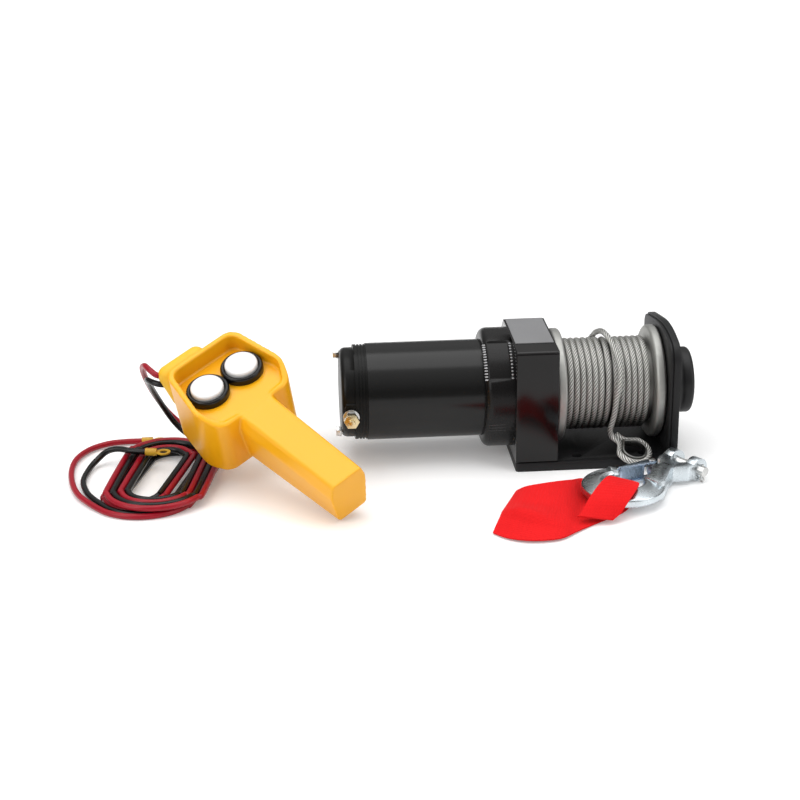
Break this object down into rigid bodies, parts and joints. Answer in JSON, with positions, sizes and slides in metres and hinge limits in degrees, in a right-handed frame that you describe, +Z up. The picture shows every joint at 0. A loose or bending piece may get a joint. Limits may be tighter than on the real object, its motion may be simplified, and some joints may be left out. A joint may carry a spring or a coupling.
{
  "type": "electric recovery winch",
  "caption": "Compact electric rope winch: motor, planetary gearbox, drum on a flat base, clutch knob, loose hook with pull strap, wired hand control and battery leads.",
  "frame": {"origin": "centre of the four mounting holes, on the underside of the base plate", "axes": "+X along the drum from the motor to the clutch knob, +Y away from the side where the rope leaves, +Z up from the mounting face"},
  "size_m": [0.5017, 0.2364, 0.11],
  "materials": {
    "black_gloss": "gloss",
    "black_paint": "semi gloss",
    "steel_plate": "satin",
    "grey_label": "satin",
    "gear_steel": "machined",
    "rotor": "laminated and wound",
    "magnet": "matt",
    "bronze": "satin",
    "brush_board": "matt",
    "zinc": "zinc plated",
    "drum_zinc": "cast and plated",
    "wire_rope": "galvanised strands",
    "spring_steel": "oiled",
    "knob_black": "satin",
    "hook_zinc": "zinc plated",
    "webbing": "woven",
    "yellow_shell": "gloss",
    "boot_rubber": "semi gloss",
    "white_cap": "gloss",
    "dark_plastic": "matt",
    "red_cable": "smooth jacket",
    "black_cable": "smooth jacket",
    "yellow_sleeve": "satin"
  },
  "bodies": {
    "frame": {"base_frame": "steel_plate", "end_plate": "steel_plate", "end_liner": "steel_plate", "frame_screws": "zinc", "gearbox_cover": "black_gloss", "top_plate": "grey_label", "ring_gear": "black_gloss", "motor_flange": "gear_steel", "motor_can": "black_paint", "field_magnets": "magnet", "brush_gear": "brush_board", "end_cap": "black_gloss", "tie_bolts": "zinc", "terminal_studs": "bronze", "terminal_nuts": "zinc", "drum_bushes": "bronze", "clutch_spring": "spring_steel", "rope_tail": "wire_rope", "thimble": "zinc", "hook": "hook_zinc", "latch_spring": "spring_steel", "latch_rivet": "zinc", "clevis_pin": "zinc", "cotter_pin": "zinc", "pull_strap": "webbing", "handset_top": "yellow_shell", "handset_back": "yellow_shell", "button_boots": "boot_rubber", "contact_block": "dark_plastic", "handset_screws": "zinc", "lead_boss": "yellow_shell", "red_lead": "red_cable", "red_coil": "red_cable", "black_lead": "black_cable", "black_coil": "black_cable", "ring_terminals": "yellow_sleeve"},
    "drum": {"drum_tube": "gear_steel", "left_flange": "drum_zinc", "right_flange": "drum_zinc", "rope_core": "wire_rope", "rope_winding": "wire_rope", "carrier_3": "gear_steel"},
    "armature": {"armature": "rotor"},
    "carrier_1": {"carrier_1": "gear_steel"},
    "carrier_2": {"carrier_2": "gear_steel"},
    "clutch": {"clutch_shaft": "gear_steel"},
    "knob": {"clutch_knob": "knob_black"},
    "latch": {"hook_latch": "hook_zinc"},
    "button_in": {"button_in": "white_cap"},
    "button_out": {"button_out": "white_cap"},
    "planet_1a": {"planet_1a": "gear_steel"},
    "planet_1b": {"planet_1b": "gear_steel"},
    "planet_1c": {"planet_1c": "gear_steel"},
    "planet_2a": {"planet_2a": "gear_steel"},
    "planet_2b": {"planet_2b": "gear_steel"},
    "planet_2c": {"planet_2c": "gear_steel"},
    "planet_3a": {"planet_3a": "gear_steel"},
    "planet_3b": {"planet_3b": "gear_steel"},
    "planet_3c": {"planet_3c": "gear_steel"}
  },
  "joints": [
    {"name": "drum_spin", "type": "hinge", "parent": "frame", "child": "drum", "pos_m": [0, 0, 0.0535], "axis": [1, 0, 0], "continuous": true},
    {"name": "armature_spin", "type": "hinge", "parent": "frame", "child": "armature", "pos_m": [0, 0, 0.0535], "axis": [1, 0, 0], "continuous": true},
    {"name": "carrier_1_spin", "type": "hinge", "parent": "frame", "child": "carrier_1", "pos_m": [0, 0, 0.0535], "axis": [1, 0, 0], "continuous": true},
    {"name": "carrier_2_spin", "type": "hinge", "parent": "frame", "child": "carrier_2", "pos_m": [0, 0, 0.0535], "axis": [1, 0, 0], "continuous": true},
    {"name": "planet_1a_spin", "type": "hinge", "parent": "carrier_1", "child": "planet_1a", "pos_m": [0, 0, 0.031], "axis": [1, 0, 0], "continuous": true},
    {"name": "planet_1b_spin", "type": "hinge", "parent": "carrier_1", "child": "planet_1b", "pos_m": [0, 0.01949, 0.06475], "axis": [1, 0, 0], "continuous": true},
    {"name": "planet_1c_spin", "type": "hinge", "parent": "carrier_1", "child": "planet_1c", "pos_m": [0, -0.01949, 0.06475], "axis": [1, 0, 0], "continuous": true},
    {"name": "planet_2a_spin", "type": "hinge", "parent": "carrier_2", "child": "planet_2a", "pos_m": [0, 0, 0.031], "axis": [1, 0, 0], "continuous": true},
    {"name": "planet_2b_spin", "type": "hinge", "parent": "carrier_2", "child": "planet_2b", "pos_m": [0, 0.01949, 0.06475], "axis": [1, 0, 0], "continuous": true},
    {"name": "planet_2c_spin", "type": "hinge", "parent": "carrier_2", "child": "planet_2c", "pos_m": [0, -0.01949, 0.06475], "axis": [1, 0, 0], "continuous": true},
    {"name": "planet_3a_spin", "type": "hinge", "parent": "drum", "child": "planet_3a", "pos_m": [0, 0, 0.02913], "axis": [1, 0, 0], "continuous": true},
    {"name": "planet_3b_spin", "type": "hinge", "parent": "drum", "child": "planet_3b", "pos_m": [0, 0.02111, 0.06569], "axis": [1, 0, 0], "continuous": true},
    {"name": "planet_3c_spin", "type": "hinge", "parent": "drum", "child": "planet_3c", "pos_m": [0, -0.02111, 0.06569], "axis": [1, 0, 0], "continuous": true},
    {"name": "clutch_pull", "type": "slide", "parent": "frame", "child": "clutch", "axis": [1, 0, 0], "range_m": [0, 0.008], "stiffness_N_per_m": 600, "springref_m": -0.006, "deforming": ["clutch_spring"]},
    {"name": "clutch_turn", "type": "hinge", "parent": "clutch", "child": "knob", "pos_m": [0.06, 0, 0.0535], "axis": [1, 0, 0], "range_deg": [0, 90]},
    {"name": "button_in_press", "type": "slide", "parent": "frame", "child": "button_in", "axis": [0.1296, 0.401, -0.9069], "range_m": [0, 0.003], "stiffness_N_per_m": 700, "springref_m": -0.001},
    {"name": "button_out_press", "type": "slide", "parent": "frame", "child": "button_out", "axis": [0.1296, 0.401, -0.9069], "range_m": [0, 0.003], "stiffness_N_per_m": 700, "springref_m": -0.001},
    {"name": "latch_open", "type": "hinge", "parent": "frame", "child": "latch", "pos_m": [0.02529, -0.07902, 0.0096], "axis": [0, 0, 1], "range_deg": [0, 30], "stiffness_Nm_per_rad": 0.05, "springref_deg": -11.46}
  ],
  "couplings": [
    {"joint": "armature_spin", "follows": "drum_spin", "ratio": 156},
    {"joint": "carrier_1_spin", "follows": "drum_spin", "ratio": 26},
    {"joint": "carrier_2_spin", "follows": "drum_spin", "ratio": 4.3333},
    {"joint": "planet_1a_spin", "follows": "drum_spin", "ratio": -65},
    {"joint": "planet_1b_spin", "follows": "drum_spin", "ratio": -65},
    {"joint": "planet_1c_spin", "follows": "drum_spin", "ratio": -65},
    {"joint": "planet_2a_spin", "follows": "drum_spin", "ratio": -10.833},
    {"joint": "planet_2b_spin", "follows": "drum_spin", "ratio": -10.833},
    {"joint": "planet_2c_spin", "follows": "drum_spin", "ratio": -10.833},
    {"joint": "planet_3a_spin", "follows": "drum_spin", "ratio": -2.8571},
    {"joint": "planet_3b_spin", "follows": "drum_spin", "ratio": -2.8571},
    {"joint": "planet_3c_spin", "follows": "drum_spin", "ratio": -2.8571}
  ]
}
